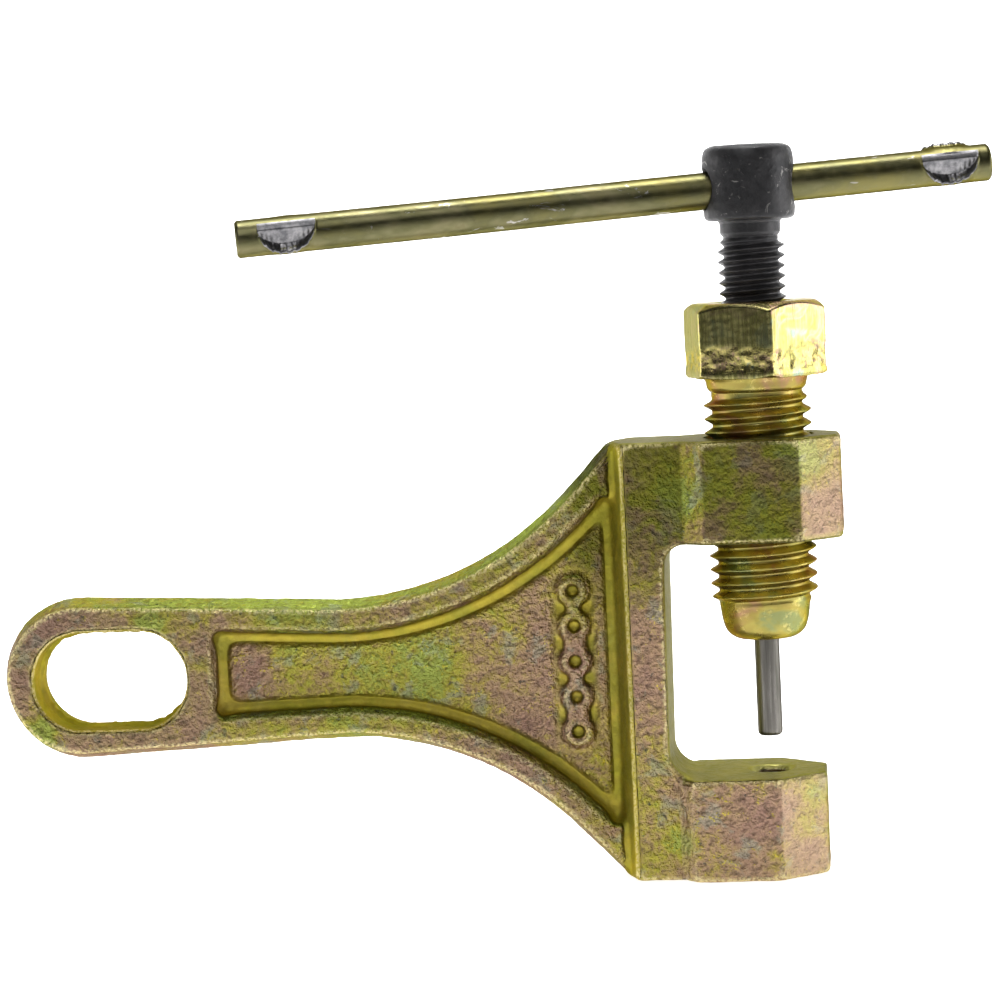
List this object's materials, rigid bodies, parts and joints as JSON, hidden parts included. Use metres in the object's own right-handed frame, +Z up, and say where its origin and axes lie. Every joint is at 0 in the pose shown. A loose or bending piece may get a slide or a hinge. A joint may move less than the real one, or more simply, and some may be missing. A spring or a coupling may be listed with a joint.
{
  "type": "chain tool",
  "caption": "Forged C-frame chain tool with a slotted flat handle, a hollow hexagon bolt and a T-bar screw that drives a push pin toward the anvil hole.",
  "frame": {"origin": "centre of the anvil hole's mouth, on the screw axis, in the anvil's top face", "axes": "+Z up the screw axis to the T-bar, +X out of the jaw's open side, -X along the handle, Y through the thickness"},
  "size_m": [0.1494, 0.03, 0.1063],
  "materials": {
    "zinc_forging": "satin",
    "zinc_bolt": "satin",
    "zinc_bar": "satin",
    "black_screw": "satin",
    "pin_steel": "satin",
    "spring_steel": "satin"
  },
  "bodies": {
    "frame": {"frame": "zinc_forging"},
    "spring_carrier": {"return_spring": "spring_steel"},
    "pressure_bolt": {"pressure_bolt": "zinc_bolt"},
    "push_pin": {"push_pin": "pin_steel"},
    "spindle_screw": {"spindle_screw": "black_screw"},
    "tommy_bar": {"tommy_bar": "zinc_bar"}
  },
  "joints": [
    {"name": "bolt_feed", "type": "slide", "parent": "frame", "child": "spring_carrier", "axis": [0, 0, 1], "range_m": [-0.004, 0.014]},
    {"name": "bolt_turn", "type": "hinge", "parent": "spring_carrier", "child": "pressure_bolt", "pos_m": [0, 0, 0.04], "axis": [0, 0, 1], "range_deg": [-721, 2521]},
    {"name": "pin_feed", "type": "slide", "parent": "pressure_bolt", "child": "push_pin", "axis": [0, 0, 1], "range_m": [-0.01125, 0.0135], "deforming": ["return_spring"]},
    {"name": "screw_turn", "type": "hinge", "parent": "push_pin", "child": "spindle_screw", "pos_m": [0, 0, 0.07], "axis": [0, 0, 1], "range_deg": [-2701, 3241]},
    {"name": "bar_slide", "type": "slide", "parent": "spindle_screw", "child": "tommy_bar", "axis": [0.9766, 0.2076, 0.0558], "range_m": [-0.0175, 0.055]}
  ],
  "couplings": [
    {"joint": "bolt_turn", "follows": "bolt_feed", "rad_per_m": 3141.6},
    {"joint": "screw_turn", "follows": "pin_feed", "rad_per_m": 4188.8}
  ]
}
